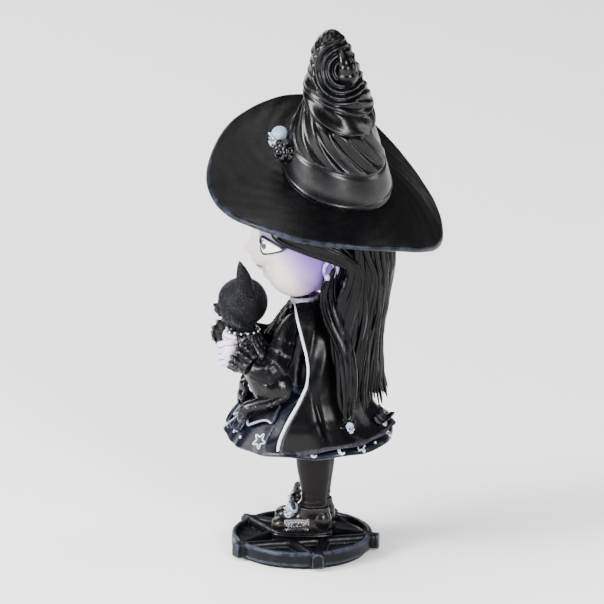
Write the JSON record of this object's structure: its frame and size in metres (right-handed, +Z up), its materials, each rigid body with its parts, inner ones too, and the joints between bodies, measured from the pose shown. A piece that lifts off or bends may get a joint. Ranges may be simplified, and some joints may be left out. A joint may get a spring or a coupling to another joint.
{
  "type": "witch figurine",
  "caption": "Standing chibi witch figurine holding a black cat, wide pointed hat, long cape and star base, the head on a short neck spring so it nods and sways",
  "frame": {"origin": "centre of the felt pad's underside, on the surface the figure stands on", "axes": "+Z up, the figure faces -Y, its left side is +X"},
  "size_m": [0.0878, 0.086, 0.2034],
  "materials": {
    "felt": "matt black felt",
    "navy_resin": "satin navy-black resin, edges dry-brushed blue-grey",
    "black_resin": "glossy black resin with worn blue-silver edges",
    "hair_resin": "grooved glossy black resin, ridges dry-brushed silver-blue",
    "satin_resin": "satin black resin",
    "fur_resin": "stippled charcoal fur with silver flecks",
    "stocking_resin": "satin black-brown stocking",
    "skin_resin": "pale cream skin shading to violet",
    "lilac_resin": "pale lilac skin",
    "eye_resin": "glossy painted eye",
    "silver_paint": "pale blue-silver paint, dark recesses",
    "white_paint": "white painted piping",
    "grey_paint": "pale grey satin paint",
    "plug_resin": "unpainted resin, hidden",
    "spring_steel": "bright spring steel"
  },
  "bodies": {
    "figure": {"base_felt_pad": "felt", "base_plate": "navy_resin", "left_shoe_sole": "navy_resin", "right_shoe_sole": "navy_resin", "left_shoe": "black_resin", "right_shoe": "black_resin", "left_skull_buckle": "silver_paint", "right_skull_buckle": "silver_paint", "left_leg": "stocking_resin", "right_leg": "stocking_resin", "skirt": "navy_resin", "overskirt": "black_resin", "overskirt_piping": "white_paint", "front_bow": "black_resin", "torso": "black_resin", "bodice_panel": "grey_paint", "jabot": "black_resin", "left_sleeve": "satin_resin", "right_sleeve": "satin_resin", "left_cuff": "satin_resin", "right_cuff": "satin_resin", "left_hand": "lilac_resin", "right_hand": "lilac_resin", "cat_body": "black_resin", "cat_head": "fur_resin", "cat_left_ear": "fur_resin", "cat_right_ear": "fur_resin", "cat_tail": "fur_resin", "cat_collar": "silver_paint", "cape": "black_resin", "left_cape_piping": "white_paint", "right_cape_piping": "white_paint", "cape_ornament": "silver_paint", "neck_collar": "grey_paint", "choker": "black_resin", "neck_spring": "spring_steel"},
    "spring_end": {"spring_cap": "spring_steel"},
    "plug": {"head_plug": "plug_resin"},
    "bobble_head": {"head": "skin_resin", "left_ear": "lilac_resin", "right_ear": "lilac_resin", "left_eye": "eye_resin", "right_eye": "eye_resin", "hair_cap": "hair_resin", "hair_back": "hair_resin", "hair_fringe": "hair_resin", "left_hair_lock": "hair_resin", "right_hair_lock": "hair_resin", "hat_brim": "black_resin", "hat_cone": "black_resin", "hat_band": "satin_resin", "hat_skull": "silver_paint", "hat_rosette": "satin_resin", "hat_bead": "black_resin"}
  },
  "joints": [
    {"name": "head_nod", "type": "hinge", "parent": "figure", "child": "spring_end", "pos_m": [0, 0.0007, 0.098], "axis": [1, 0, 0], "range_deg": [-2, 4], "stiffness_Nm_per_rad": 0.2, "springref_deg": 3.64},
    {"name": "head_sway", "type": "hinge", "parent": "spring_end", "child": "plug", "pos_m": [0, 0.0007, 0.098], "axis": [0, 1, 0], "range_deg": [-3, 3], "stiffness_Nm_per_rad": 0.2, "springref_deg": -0.28},
    {"name": "head_turn", "type": "hinge", "parent": "plug", "child": "bobble_head", "pos_m": [0, 0.0007, 0.098], "axis": [0, 0, 1], "range_deg": [-7, 7], "stiffness_Nm_per_rad": 0.08}
  ]
}
